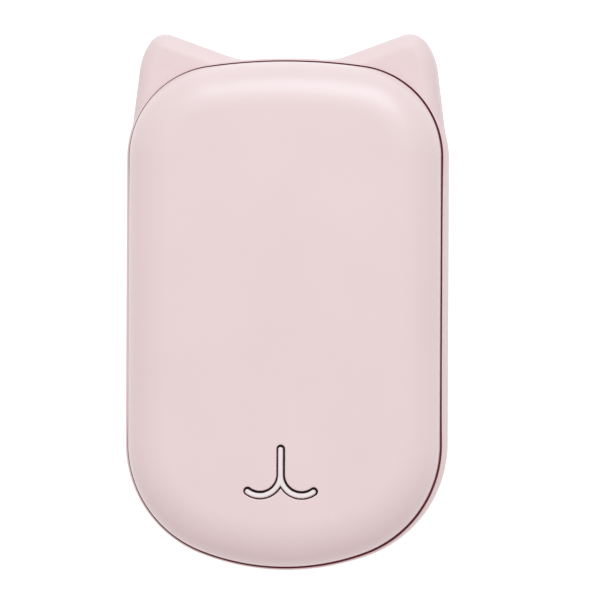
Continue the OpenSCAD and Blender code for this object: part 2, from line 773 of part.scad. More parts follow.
module output_socket_contacts() {
    color("gold") place() for (i = [-1.5 : 1.5])
        socket(-out_x + i * out_w / 6, out_tongue_z - (out_tongue_t + contact_t) / 2, 2 * tongue_back,
            out_l - shell_t - plug_stop) square([1, contact_t], center = true);
}

module input_socket_shell() {
    color(bright_tin) place() difference() {
        socket(in_x, in_h / 2, 0, in_l) pill(in_w, in_h);
        socket(in_x, in_h / 2, -1, in_l - shell_t) input_inside();
    }
}

module input_socket_tongue() {
    color(part_black) place() {
        socket(in_x, in_h / 2, tongue_back, in_l - shell_t - eps)
            square([in_w * 0.75, in_tongue_t], center = true);
        socket(in_x, in_h / 2, in_l - shell_t - plug_stop / 2, in_l - shell_t) input_inside();
    }
}

module input_socket_contacts() {
    color("gold") place() for (i = [-5.5 : 5.5], side = [-1, 1])
        socket(in_x + i * in_w / 18, in_h / 2 + side * (in_tongue_t + contact_t) / 2, 1.5 * tongue_back,
            in_l - shell_t - plug_stop / 2) square([0.25, contact_t], center = true);
}

module switch_body() {
    color(part_black) place() difference() {
        translate([switch_x + switch_d / 2, button_y, board_top])
            block(switch_d, switch_l, 2 * (mid_z - board_top));
        translate([switch_x + switch_hole / 2, button_y, mid_z]) cube([switch_hole,
            plunger_w + 2 * plunger_gap, plunger_w + 2 * plunger_gap], center = true);
        translate([switch_x, button_y, mid_z]) cube([switch_hole,
            plunger_w + 2 * plunger_gap, plunger_w + 2 * plunger_gap], center = true);
    }
}

module switch_plunger() {
    length = plunger_out + switch_hole - button_travel - plunger_stop;
    color("white") place() translate([plunger_x + length / 2, button_y, mid_z])
        cube([length, plunger_w, plunger_w], center = true);
}

// A pill-shaped cap with a rounded rim, and the collar that keeps it in its hole
module power_button() {
    face = -half_w - button_proud;
    color(painted_pink) place() translate([0, button_y, mid_z]) rotate([90, 0, 90]) {
        loft(concat([for (a = [90 : -22.5 : 0]) let (inset = button_edge_r * (1 - cos(a)))
                [face + button_edge_r * (1 - sin(a)),
                    pill_outline(button_l - 2 * inset, button_h - 2 * inset)]],
            [[collar_x + eps, pill_outline(button_l, button_h)]]));
        translate([0, 0, collar_x]) linear_extrude(collar_t)
            pill(button_l + 2 * collar_w, button_h + 2 * collar_w);
    }
}

module status_lights() {
    color("white") place() light_places()
        translate([light_bar_x + light_bar_t + light_gap + light_chip.x / 2, 0, board_top])
            block(light_chip.x, light_chip.y, light_chip.z);
}

module light_guide() {
    bar_l = (light_n - 1) * light_pitch + light_d + 2 * light_bar_past;
    color("white") place() {
        translate([light_bar_x + light_bar_t / 2, light_y - (light_n - 1) * light_pitch / 2, board_top])
            block(light_bar_t, bar_l, mid_z + light_d / 2 + light_bar_past - board_top);
        intersection() {
            light_places() translate([-half_w, 0, mid_z]) rotate([0, 90, 0])
                cylinder(d = light_d, h = half_w + light_bar_x + light_bar_t / 2);
            plate(light_gap, floor_top, rim_z);
        }
    }
}

// Flat parts on the board: each has a place and a size
module on_board(list) {
    for (item = list) translate([item[0].x, bottom_y + item[0].y, board_top])
        block(item[1].x, item[1].y, item[1].z);
}

module power_inductor() {
    flange_t = inductor_h / 5;
    color(foam_grey) place() translate([inductor_at.x, bottom_y + inductor_at.y, board_top]) {
        for (z = [0, inductor_h - flange_t]) translate([0, 0, z])
            linear_extrude(flange_t) rounded_rect(inductor_w, inductor_w, 1);
        cylinder(d = inductor_w * 0.75, h = inductor_h - eps);
    }
}

module control_chips() { color(part_black) place() on_board(chips); }

// Rows of capacitors: each row has a place for its first one, and their size
module chip_capacitors() {
    color([0.62, 0.5, 0.36]) place() for (k = [0 : len(capacitor_rows) - 1]) {
        at = capacitor_rows[k][0];
        size = capacitor_rows[k][1];
        on_board([for (i = [0 : capacitor_n[k] - 1]) [at + [i * (size.x + capacitor_gap), 0], size]]);
    }
}

front_cover();
rear_cover();
middle_frame();
mouth_insert();
front_bond_tape();
rear_bond_tape();
front_heater_film();
front_heater_track();
rear_heater_film();
rear_heater_track();
front_insulation_pad();
rear_insulation_pad();
battery_cell();
battery_tabs();
protection_board();
protection_chips();
battery_lead_red();
battery_lead_black();
front_heater_leads();
rear_heater_leads();
temperature_sensor();
main_board();
board_screws();
output_socket_shell();
output_socket_tongue();
output_socket_contacts();
input_socket_shell();
input_socket_tongue();
input_socket_contacts();
switch_body();
switch_plunger();
power_button();
status_lights();
light_guide();
power_inductor();
control_chips();
chip_capacitors();
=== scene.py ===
# %% [markdown]
# # A rechargeable hand warmer with two ears
#
# The real object is two thin drawn covers glued to a moulded middle frame. The frame
# grows two soft ears, and a battery, a small board and two heater films are closed
# inside. Its looks are calm: one satin pink, soft round edges, a thin dark seam and a
# small mouth. So most of the work here is in clean curved meshes and quiet materials,
# because on a plain object every dent in the shading shows.
#
# The measured model comes first. Every size below is taken from it or named once.

# %% Load the measured model
import json
import math
import bpy
import bmesh
import numpy as np
from mathutils import Matrix, Vector
from mathutils.bvhtree import BVHTree


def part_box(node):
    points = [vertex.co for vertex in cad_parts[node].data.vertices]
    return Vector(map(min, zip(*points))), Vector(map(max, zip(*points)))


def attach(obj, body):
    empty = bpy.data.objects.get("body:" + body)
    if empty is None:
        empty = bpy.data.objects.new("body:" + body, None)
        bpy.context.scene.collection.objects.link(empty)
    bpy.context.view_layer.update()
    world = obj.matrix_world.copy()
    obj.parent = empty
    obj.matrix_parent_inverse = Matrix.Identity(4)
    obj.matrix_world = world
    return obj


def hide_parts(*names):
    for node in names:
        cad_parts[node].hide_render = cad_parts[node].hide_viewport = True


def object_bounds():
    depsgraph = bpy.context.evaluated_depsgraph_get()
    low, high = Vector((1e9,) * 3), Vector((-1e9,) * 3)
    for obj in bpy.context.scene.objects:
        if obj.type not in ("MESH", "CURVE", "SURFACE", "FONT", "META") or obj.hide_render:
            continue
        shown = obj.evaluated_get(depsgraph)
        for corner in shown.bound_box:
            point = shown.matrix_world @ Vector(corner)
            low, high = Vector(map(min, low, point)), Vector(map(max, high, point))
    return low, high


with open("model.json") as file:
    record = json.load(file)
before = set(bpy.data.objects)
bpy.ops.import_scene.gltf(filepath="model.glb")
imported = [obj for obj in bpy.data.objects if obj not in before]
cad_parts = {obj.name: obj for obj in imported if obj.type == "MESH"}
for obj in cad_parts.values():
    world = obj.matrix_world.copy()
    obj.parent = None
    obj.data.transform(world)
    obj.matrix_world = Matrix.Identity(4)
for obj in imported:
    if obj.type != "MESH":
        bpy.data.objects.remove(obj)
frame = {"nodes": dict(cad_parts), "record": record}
cad_low, cad_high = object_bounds()
MM = 0.001
print("measured box in mm:", [round(v / MM, 2) for v in cad_high - cad_low])

# %% [markdown]
# ## The camera
#
# A product photo is taken with a long lens from far away, so that near and far parts
# keep the same scale. The camera looks straight down on the front cover, from a little
# to the right, because a sliver of the frame shows along the right side only. It is
# aimed by moving it sideways, never by a lens shift, so that other views stay centred.

# %% Camera
PHOTO_PX = 600
FOCAL_PX = 4651
OBJECT_PX = (287.8, 302.1)
SENSOR_MM = 36
camera_distance = 0.9
camera_turn = math.radians(6.3)
camera_drop = math.radians(0.1)
camera_roll = math.radians(0.27)

camera_data = bpy.data.cameras.new("photo_camera")
camera_data.sensor_width = SENSOR_MM
camera_data.lens = FOCAL_PX / PHOTO_PX * SENSOR_MM
camera = bpy.data.objects.new("photo_camera", camera_data)
bpy.context.scene.collection.objects.link(camera)
bpy.context.scene.camera = camera

back = Vector((math.sin(camera_turn) * math.cos(camera_drop), math.sin(camera_drop),
               math.cos(camera_turn) * math.cos(camera_drop)))
level = Vector((0, 1, 0)).cross(back).normalized()
upright = back.cross(level)
right = level * math.cos(camera_roll) + upright * math.sin(camera_roll)
above = upright * math.cos(camera_roll) - level * math.sin(camera_roll)
metres_per_px = camera_distance / FOCAL_PX
middle = Vector((0, 0, cad_high.z / 2))
aim = (middle - right * (OBJECT_PX[0] - PHOTO_PX / 2) * metres_per_px
       + above * (OBJECT_PX[1] - PHOTO_PX / 2) * metres_per_px)
camera.matrix_world = Matrix.Translation(aim + back * camera_distance) @ Matrix(
    (right, above, back)).transposed().to_4x4()
print("lens in mm:", round(camera_data.lens, 1))

# %% [markdown]
# ## The outline
#
# Seen from the front, the case is a rounded oblong of six arcs and two straight sides: a
# nearly straight top, a rounder bottom and four corners. Every ring of points below is
# this same outline moved inwards, so that rings can be joined one to one with quads.
# A parallel curve of an arc is an arc with a smaller radius, which keeps this exact.

# %% Sizes of the case
cover_low, cover_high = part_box("front_cover")
frame_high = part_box("middle_frame")[1]
frame_proud = frame_high.x - cover_high.x
half_w = frame_high.x
half_l = (cover_high.y - cover_low.y) / 2 + frame_proud
centre_y = (cover_high.y + cover_low.y) / 2
case_t = cover_high.z
mid_z = case_t / 2

top_crown_r = 107 * MM
top_corner_r = 18.4 * MM
bottom_crown_r = 45.4 * MM
bottom_corner_r = 23 * MM

top_crown_y = half_l - top_crown_r
bottom_crown_y = -half_l + bottom_crown_r
top_run = half_w - top_corner_r
bottom_run = half_w - bottom_corner_r
top_reach = math.sqrt((top_crown_r - top_corner_r) ** 2 - top_run ** 2)
bottom_reach = math.sqrt((bottom_crown_r - bottom_corner_r) ** 2 - bottom_run ** 2)
top_corner_y = top_crown_y + top_reach
bottom_corner_y = bottom_crown_y - bottom_reach
top_angle = math.degrees(math.atan2(top_reach, top_run))
bottom_angle = math.degrees(math.atan2(bottom_reach, bottom_run))
print("frame in mm:", round(2 * half_w / MM, 2), "by", round(2 * half_l / MM, 2))

# %% The outline as a ring of points
top_steps, crown_steps, side_steps, low_steps, base_steps = 52, 60, 56, 56, 66
mirrored = np.array([-1, 1])


def arc(centre, radius, start, end, steps):
    """Points of an arc from one angle to another, in degrees."""
    a = np.radians(np.linspace(start, end, steps + 1))
    return np.c_[centre[0] + radius * np.cos(a), centre[1] + radius * np.sin(a)]


def outline(inset):
    """The case's outline moved inwards, about the middle of the case."""
    top = arc((top_run, top_corner_y), top_corner_r - inset, 0, top_angle, top_steps)
    crown = arc((0, top_crown_y), top_crown_r - inset, top_angle, 180 - top_angle, crown_steps)
    left_y = np.linspace(top_corner_y, bottom_corner_y, side_steps + 1)[1:-1]
    left = np.c_[np.full(len(left_y), inset - half_w), left_y]
    low = arc((-bottom_run, bottom_corner_y), bottom_corner_r - inset,
              180, 180 + bottom_angle, low_steps)
    base = arc((0, bottom_crown_y), bottom_crown_r - inset,
               180 + bottom_angle, 360 - bottom_angle, base_steps)
    return np.vstack([top, crown[1:-1], top[::-1] * mirrored, left, low, base[1:-1],
                      low[::-1] * mirrored, (left * mirrored)[::-1]])


print("points in one ring:", len(outline(0)))

# %% [markdown]
# ## Joining rings into a skin
#
# A drawn or moulded shell is the same all round, so it is made like a lofted surface:
# a list of rings, each joined to the next by quads. A flat end is closed with
# triangles, which may leave a hole in the middle. Where a flat meets a rounded edge, a
# narrow ring of quads lies between them, because long triangles would otherwise smear
# the shading of the edge across the flat.

# %% A skin of rings
def smooth(mesh, sharp):
    """Smooth shading, except where faces meet at more than sharp degrees."""
    mesh.polygons.foreach_set("use_smooth", [True] * len(mesh.polygons))
    mesh.set_sharp_from_angle(angle=math.radians(sharp))


class Skin:
    """Rings of points, joined by quads, with flat fills between open rings."""

    def __init__(self):
        self.points, self.faces, self.tags, self.fills, self.count = [], [], [], [], 0

    def ring(self, points):
        """Adds a ring and returns the numbers of its points."""
        points = np.asarray(points, float)
        self.points.append(points)
        first, self.count = self.count, self.count + len(points)
        return np.arange(first, self.count)

    def stack(self, rings, tagged=()):
        """Adds rings and joins each to the next. Returns the first and the last.

        tagged holds the places in the list whose faces get the second material."""
        made = [self.ring(r) for r in rings]
        for place, (a, b) in enumerate(zip(made, made[1:])):
            self.faces += np.c_[a, np.roll(a, -1), np.roll(b, -1), b].tolist()
            self.tags += [int(place in tagged)] * len(a)
        return made[0], made[-1]

    def fill(self, *rings):
        """Closes a flat between rings with triangles, once the skin is built."""
        self.fills.append(rings)

    def cap(self, ring):
        """Closes a ring with one face."""
        self.faces.append(ring.tolist())
        self.tags.append(0)

    def solid(self, rings):
        """Adds a stack of rings and closes each end with one face."""
        for ring in self.stack(rings):
            self.cap(ring)

    def build(self, name, sharp=40):
        """Makes the object, smooth except at edges of more than sharp degrees."""
        mesh = bpy.data.meshes.new(name)
        mesh.from_pydata(np.vstack(self.points).tolist(), [], self.faces)
        mesh.polygons.foreach_set("material_index", self.tags)
        bm = bmesh.new()
        bm.from_mesh(mesh)
        bm.verts.ensure_lookup_table()
        for rings in self.fills:
            edges = [bm.edges.get((bm.verts[a], bm.verts[b])) for r in rings
                     for a, b in zip(r.tolist(), np.roll(r, -1).tolist())]
            bmesh.ops.triangle_fill(bm, edges=edges, use_beauty=True)
        bmesh.ops.recalc_face_normals(bm, faces=bm.faces)
        bm.to_mesh(mesh)
        bm.free()
        smooth(mesh, sharp)
        made = bpy.data.objects.new(name, mesh)
        bpy.context.scene.collection.objects.link(made)
        return made


# %% Placing a ring and checking a mesh
def at_height(xy, z):
    """A ring of the case at one height, moved to where the case lies."""
    return np.c_[xy[:, 0], xy[:, 1] + centre_y, np.full(len(xy), z)]


def check(made):
    """Prints a mesh's faces, and how many of its edges don't have two faces."""
    mesh = made.data
    uses = np.bincount([loop.edge_index for loop in mesh.loops], minlength=len(mesh.edges))
    print(made.name, "faces", len(mesh.polygons), "open edges", int((uses != 2).sum()))


# %% [markdown]
# ## The mouth's line
#
# The mouth is a cut-out in the front cover: an upright stem with a round top and two
# arcs. An insert stands in it with a thin gap all round. Both come from one outline
# that can be grown sideways. The insert is glued in from behind and sits a tenth of a
# millimetre low in its cut-out, so the dark line is heavier above it than below.

# %% Outline of the mouth
insert_low, insert_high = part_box("mouth_insert")
mouth_arc_r = 4 * MM
mouth_sweep = 126
mouth_stem = 4.85 * MM
mouth_slot_w = 1.65 * MM
mouth_gap = 0.33 * MM
mouth_flange_w = 4.05 * MM
mouth_y = insert_high.y - centre_y - mouth_stem - mouth_flange_w / 2
slot_shift = np.array([0.18, 0.22]) * MM
insert_shift = np.array([0.1, 0.09]) * MM
mouth_arc_steps, mouth_tip_steps, mouth_stem_steps = 36, 16, 13


def mouth_outline(w, shift):
    """The mouth's closed line at a width, moved by a shift, about the case's middle."""
    r, end = mouth_arc_r, 180 + mouth_sweep
    cusp = 180 + math.degrees(math.acos(r / (r + w / 2)))
    tip = (r + r * math.cos(math.radians(end)), r * math.sin(math.radians(end)))
    half = np.vstack([arc((r, 0), r - w / 2, 180, end, mouth_arc_steps),
                      arc(tip, w / 2, end + 180, end, mouth_tip_steps)[1:-1],
                      arc((r, 0), r + w / 2, end, cusp, mouth_arc_steps)])
    stem = np.linspace(mouth_stem, 0, mouth_stem_steps + 1)[1:-1]
    sides = np.c_[np.full(len(stem), w / 2), stem]
    line = np.vstack([arc((0, mouth_stem), w / 2, 180, 0, mouth_tip_steps), sides, half,
                      half[-2::-1] * mirrored, (sides * mirrored)[::-1]])
    return line + np.array([0, mouth_y]) + shift


print("mouth above the bottom end in mm:", round((mouth_y + half_l) / MM, 2))

# %% [markdown]
# ## The covers
#
# Each cover is a millimetre of metal drawn into a shallow dome: a straight edge that
# stands in the frame's groove, a rounded zone nine millimetres wide, and a flat middle.
# The section is a quarter of an ellipse, upright at the seam and level at the flat, so
# that no line shows where they meet. The real sheet has its small bend radii at the
# hem and at the mouth's cut edge, and those are what catch the light.

# %% Section of a cover
cover_wall = 1 * MM
edge_w = 9 * MM
edge_lip = 0.6 * MM
groove_d = 0.6 * MM
bond_t = 0.15 * MM
hem_r = 0.12 * MM
cut_r = 0.2 * MM
guard_w = 0.35 * MM
dome_steps, bend_steps = 29, 5
lip_z = cover_low.z + groove_d - bond_t
edge_drop = case_t - lip_z - edge_lip
edge_in = frame_proud + edge_w


def quarter(steps):
    """The angles of a quarter turn in even steps."""
    return np.linspace(0, math.pi / 2, steps + 1)


def dome(wall):
    """Insets and heights from the flat to the straight edge, for a face sunk by a wall."""
    wide, deep = edge_w - wall, edge_drop - wall
    return [(edge_in - wide * math.sin(t), case_t - wall - deep * (1 - math.cos(t)))
            for t in quarter(dome_steps)]


def bend(radius):
    """Sines and cosines of a quarter turn, times a radius."""
    return [(radius * math.sin(t), radius * math.cos(t)) for t in quarter(bend_steps)]


print("dome in mm:", round(edge_w / MM, 1), "wide and", round(edge_drop / MM, 2), "deep")

# %% Front and rear covers
def make_cover(name, with_mouth, turned):
    """A cover's shell. turned puts it on the back of the case.

    Its section runs from the outer flat over the hem to the inner flat. The faces that lie in the
    seam and in the cut-out carry painted shade as a second material: a dark colour that stands in
    for the shadow in those narrow gaps."""
    hem, flat_in = cover_low.z, edge_in + guard_w
    levels = [(flat_in, case_t)] + dome(0)
    seam_start = len(levels)
    levels += [(frame_proud, lip_z), (frame_proud, hem + hem_r)]
    levels += [(frame_proud + hem_r - c, hem + hem_r - s) for s, c in bend(hem_r)[1:]]
    levels += [(frame_proud + cover_wall - hem_r + s, hem + hem_r - c) for s, c in bend(hem_r)]
    seam = range(seam_start, len(levels))
    levels += dome(cover_wall)[::-1] + [(flat_in, case_t - cover_wall)]
    skin = Skin()
    first, last = skin.stack([at_height(outline(i), z) for i, z in levels], seam)
    if with_mouth:
        edge = [(mouth_slot_w + 2 * (cut_r + guard_w), case_t)]
        edge += [(mouth_slot_w + 2 * (cut_r - s), case_t - cut_r + c) for s, c in bend(cut_r)]
        edge += [(mouth_slot_w, case_t - cover_wall)]
        top, low = skin.stack([at_height(mouth_outline(w, slot_shift), z) for w, z in edge],
                              (bend_steps, bend_steps + 1))
        skin.fill(first, top)
        skin.fill(last, low)
    else:
        skin.fill(first)
        skin.fill(last)
    if turned:
        for points in skin.points:
            points[:, 2] = case_t - points[:, 2]
    return skin.build(name)


front_shell = make_cover("front_shell", True, False)
rear_shell = make_cover("rear_shell", False, True)
for made, node in ((front_shell, "front_cover"), (rear_shell, "rear_cover")):
    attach(made, "case")
    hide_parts(node)
    check(made)

# %% [markdown]
# ## The mouth's insert
#
# A small moulded piece: its flange is glued to the back of the cover, and the mouth
# itself stands in the cut-out, a little below the face. Its upper edge is rounded.

# %% Mouth insert
insert_r = 0.4 * MM
insert_guard = 0.06 * MM
insert_steps = 6
insert_w = mouth_slot_w - 2 * mouth_gap
flange_top = case_t - cover_wall
# The flange's face and the insert's walls, seen through the gap, get the second material: painted
# shade, a near-black colour for the shadow in the gap.
flange_face, insert_wall = 1, 2

insert = Skin()
levels = [(mouth_flange_w, insert_low.z), (mouth_flange_w, flange_top), (insert_w, flange_top)]
levels += [(insert_w - 2 * insert_r * (1 - math.cos(t)),
            insert_high.z - insert_r * (1 - math.sin(t))) for t in quarter(insert_steps)]
levels += [(insert_w - 2 * insert_r - insert_guard, insert_high.z)]
low, top = insert.stack([at_height(mouth_outline(w, insert_shift), z) for w, z in levels],
                        (flange_face, insert_wall))
insert.fill(low)
insert.fill(top)
mouth_piece = insert.build("mouth_piece")
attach(mouth_piece, "case")
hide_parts("mouth_insert")
check(mouth_piece)

# %% [markdown]
# ## The middle frame
#
# The frame is one moulding: a band with a bulged side, a groove and a rim on each edge
# for the covers, a tray floor, and the two ears. Seen from a point in the upper half of
# the case, the outer line of band and ears can be written as one distance for each
# direction. Then the larger of the two distances is the joined outline, and no line
# has to be cut where it crosses another. The band's distances come first.

# %% The band as distances
eye = np.array([0, 20 * MM])


def polar(points):
    """Directions and distances of points, seen from the eye, in rising directions."""
    away = points - eye
    turn = np.unwrap(np.arctan2(away[:, 1], away[:, 0]))
    return turn, np.hypot(away[:, 0], away[:, 1])


def finer(line, parts=8):
    """A closed line with every piece of it cut into equal parts."""
    steps = np.arange(parts)[None, :, None] / parts
    return (line[:, None] + (np.roll(line, -1, 0) - line)[:, None] * steps).reshape(-1, 2)


def line_distance(turns, line):
    """Distance to a closed line for each direction."""
    turn, distance = polar(line)
    turn, distance = np.r_[turn - 2 * math.pi, turn, turn + 2 * math.pi], np.tile(distance, 3)
    return np.interp(turns, turn, distance)


def band_distance(turns, inset):
    """Distance to the case's outline, moved inwards, for each direction."""
    return line_distance(turns, finer(outline(inset)))


print("eye to the top in mm:", round(band_distance(math.pi / 2, 0) / MM, 2))

# %% [markdown]
# ### An uneven seam
#
# An even seam would look drawn on. The long sides of a thin cover belly out by a tenth
# of a millimetre, and the cover sits a hair to the left and up, so the seam is narrow on
# the left and wide at the lower right. The lip takes all of this, so that the cover's
# rings stay parallel curves.

# %% The lip's inner line
seam_gap = 0.33 * MM
seam_squeeze = 0.11 * MM
seam_shift = np.array([0.08, -0.05]) * MM
belly_power = 4


def lip_distance(turns):
    """Distance to the lip's inner line, which comes closer to the cover along the sides."""
    line = finer(outline(frame_proud - seam_gap))
    side_y, side_half = (top_corner_y + bottom_corner_y) / 2, (top_corner_y - bottom_corner_y) / 2
    belly = np.maximum(0, 1 - ((line[:, 1] - side_y) / side_half) ** belly_power)
    line[:, 0] -= np.sign(line[:, 0]) * seam_squeeze * belly
    return line_distance(turns, line + seam_shift)


for side, turn in (("left", math.pi), ("right", 0)):
    width = lip_distance(turn) - band_distance(turn, frame_proud)
    print("seam at the", side, "in mm:", round(width / MM, 2))

# %% [markdown]
# ### The ears
#
# An ear has a straight flank that leans a little inwards, a shoulder that bends into a
# small round tip, and a straight slope that falls to the root. Both ends of this line
# lie inside the band. Only the right ear is drawn, and the left one reads it in
# mirrored directions.

# %% The ears as distances
ear_x = 23.7 * MM
ear_tip_r = 3.6 * MM
ear_shoulder_r = 12 * MM
ear_lean = 7
ear_turn = 35
ear_slope = 20
ear_reach = 16 * MM
ear_fade = 0.15
shoulder_steps, tip_steps, flank_steps = 30, 40, 39
ear_tip_y = frame_high.y - centre_y - ear_tip_r


def ear_line(inset):
    """The right ear's open line from its foot round the tip to its root."""
    facing = 90 + ear_slope
    tip = np.array([ear_x, ear_tip_y])
    turn = np.array([math.cos(math.radians(ear_turn)), math.sin(math.radians(ear_turn))])
    shoulder = tip - (ear_shoulder_r - ear_tip_r) * turn
    outer = arc(shoulder, ear_shoulder_r - inset, ear_lean, ear_turn, shoulder_steps)
    inner = arc(tip, ear_tip_r - inset, ear_turn, facing, tip_steps)
    lean, rise = math.radians(ear_lean), math.radians(facing)
    foot = outer[0] + ear_reach * np.array([math.sin(lean), -math.cos(lean)])
    root = inner[-1] + ear_reach * np.array([-math.sin(rise), math.cos(rise)])
    steps = np.linspace(0, 1, flank_steps + 1)[:, None]
    return np.vstack([foot + (outer[0] - foot) * steps, outer[1:], inner[1:],
                      inner[-1] + (root - inner[-1]) * steps[1:]])


def ears_distance(turns, inset):
    """Distance to the ears' outer line. Past an ear's ends it falls away quickly."""
    turn, distance = polar(ear_line(inset))
    found = []
    for side in (turns, math.pi - turns):
        side = (side + math.pi) % (2 * math.pi) - math.pi
        past = np.maximum(turn[0] - side, 0) + np.maximum(side - turn[-1], 0)
        found.append(np.interp(side, turn, distance) - ear_fade * past)
    return np.maximum(*found)


print("points in an ear's line:", len(ear_line(0)))

# %% [markdown]
# ### Band and ears in one line
#
# The plain larger-of would leave a sharp corner where an ear grows out of the band. A
# smooth larger-of makes the soft fillet that a mould has there, wide at the ear's root
# and narrow at its outer foot. The directions are spread so that the points of the
# widest ring lie the same step apart.

# %% Rings of the frame
root_fillet = 1 * MM
foot_fillet = 0.25 * MM
foot_sine, root_sine = 0.6, 0.8
ring_step = 0.32 * MM
probe_steps = 20000


def joined(turns, band_inset, ear_inset):
    """Distance of the frame's outer line: band and ears with a fillet between them."""
    a, b = band_distance(turns, band_inset), ears_distance(turns, ear_inset)
    fillet = np.interp(np.sin(turns), (foot_sine, root_sine), (foot_fillet, root_fillet))
    near = np.maximum(fillet - np.abs(a - b), 0) / fillet
    return np.maximum(a, b) + near ** 2 * fillet / 4


def around(turns, distance, z):
    """A ring from directions and distances, moved to where the case lies."""
    return at_height(eye + distance[:, None] * np.c_[np.cos(turns), np.sin(turns)], z)


def even_turns(spacing):
    """Directions that cut the frame's widest outline into even steps."""
    fine = np.linspace(-math.pi, math.pi, probe_steps + 1)
    points = around(fine, joined(fine, 0, 0), 0)
    run = np.r_[0, np.cumsum(np.linalg.norm(np.diff(points, axis=0), axis=1))]
    count = 2 * round(run[-1] / spacing / 2)
    return np.interp(np.linspace(0, run[-1], count + 1)[:-1], run, fine)


turns = even_turns(ring_step)
print("points in one ring of the frame:", len(turns))

# %% [markdown]
# ### The frame's section
#
# Each height gets its own outline: the band moves in by its bulge, and the ears by the
# rounding of their edge. From the upper end of the side the section runs over the lip,
# down into the groove, up over the locating rim and down the inner wall to the tray
# floor. The back is the mirror image, except that its rim ends level with the floor.
# The section is walked once, ring by ring, and the two floors close it.

# %% The frame's section
band_h = 2 * (lip_z - mid_z)
frame_bulge = 0.3 * MM
ear_edge_r = 3.2 * MM
lip_r = 0.1 * MM
lip_shares = (0.03, 0.35, 0.7, 0.96)
lip_edge = 0.04 * MM
groove_gap = 0.4 * MM
frame_wall = 3.2 * MM
rim_edge = 0.1 * MM
rim_z = frame_high.z
rim_in = frame_proud + cover_wall + groove_gap
floor_t = 1.2 * MM
floor_low = case_t - rim_z
floor_top = floor_low + floor_t
upright_steps, edge_steps = 4, 16


def side_levels():
    """Heights, band insets and ear insets up the outer side, from lip to lip."""
    flat = band_h / 2 - ear_edge_r
    bulge_r = ((band_h / 2) ** 2 + frame_bulge ** 2) / (2 * frame_bulge)
    up = [flat * i / upright_steps for i in range(upright_steps)]
    up += [flat + ear_edge_r * math.sin(t) for t in quarter(edge_steps)]
    levels = []
    for rise in up:
        past = max(0, lip_r - (band_h / 2 - rise))
        band = (bulge_r - math.sqrt(bulge_r ** 2 - rise ** 2)
                + lip_r - math.sqrt(lip_r ** 2 - past ** 2))
        ear = ear_edge_r - math.sqrt(max(0, ear_edge_r ** 2 - max(0, rise - flat) ** 2))
        levels.append((rise, band, ear))
    return [(-r, b, e) for r, b, e in levels[:0:-1]] + levels


def lip_rings(height, outer):
    """Rings over a lip and through its groove, from the outer line inwards."""
    up = 1 if height > mid_z else -1
    gap = lip_distance(turns)
    rings = [around(turns, outer + (gap - outer) * share, height) for share in lip_shares]
    rings += [around(turns, gap, height - up * down) for down in (lip_edge, groove_d)]
    return rings + [around(turns, band_distance(turns, rim_in), height - up * groove_d)]


print("band in mm:", round(band_h / MM, 2), "high, bulge", round(frame_bulge / MM, 2))

# %% The frame's skin
sides = side_levels()
side_rings = [around(turns, joined(turns, b, e), mid_z + r) for r, b, e in sides]
lip_outer = joined(turns, *sides[-1][1:])
front = lip_rings(lip_z, lip_outer)
front += [around(turns, band_distance(turns, rim_in), rim_z - rim_edge)]
front += [around(turns, band_distance(turns, rim_in + rim_edge), rim_z)]
front += [around(turns, band_distance(turns, frame_wall), z) for z in (rim_z, floor_top)]
rear = lip_rings(case_t - lip_z, lip_outer)
rear += [around(turns, band_distance(turns, rim_in), floor_low)]

# The faces in each groove get the second material: painted shade, a dark colour that stands in for
# the shadow in the seam.
front_start = len(rear) + len(side_rings)
groove_places = (len(lip_shares), len(lip_shares) + 1)
shade_painted_grooves = [front_start + place for place in groove_places]
shade_painted_grooves += [len(rear) - 2 - place for place in groove_places]
frame_skin = Skin()
low, top = frame_skin.stack(rear[::-1] + side_rings + front, shade_painted_grooves)
frame_skin.fill(low)
frame_skin.fill(top)
frame_shell = frame_skin.build("frame_shell")
check(frame_shell)

# %% [markdown]
# ### Openings in the frame
#
# A mould leaves a small radius where an opening meets the outer side. A bevel after the
# cut would catch the short edges that a boolean leaves, so each cutter is a plug with
# that radius built in: a ray finds the surface at every point of the hole's outline, and
# the last rings of the plug follow that surface and flare outwards.

# %% Closed lines of the openings
line_step = 0.5 * MM


def rounded(w, h, r, steps=10):
    """A rounded rectangle about its middle, with even points along its sides."""
    x, y = w / 2 - r, h / 2 - r
    corners = [arc((x, y), r, 0, 90, steps), arc((-x, y), r, 90, 180, steps),
               arc((-x, -y), r, 180, 270, steps), arc((x, -y), r, 270, 360, steps)]
    line = []
    for this, following in zip(corners, corners[1:] + corners[:1]):
        line += this.tolist()
        gap = following[0] - this[-1]
        extra = int(np.hypot(*gap) // line_step)
        line += [(this[-1] + gap * k / (extra + 1)).tolist() for k in range(1, extra + 1)]
    return np.array(line)


def circle(x, y, d, steps=32):
    """A closed circle about a point."""
    return arc((x, y), d / 2, 0, 360, steps)[:-1]


def grown(line, by):
    """A closed line moved outwards by a distance."""
    along = np.roll(line, -1, 0) - np.roll(line, 1, 0)
    out = np.c_[along[:, 1], -along[:, 0]]
    return line + by * out / np.linalg.norm(out, axis=1)[:, None]


# %% A plug with a flared end
flare_sweep, flare_steps = 72, 5
flare_share = 0.6
flare_past = 0.05 * MM
tree = BVHTree.FromObject(frame_shell, bpy.context.evaluated_depsgraph_get())


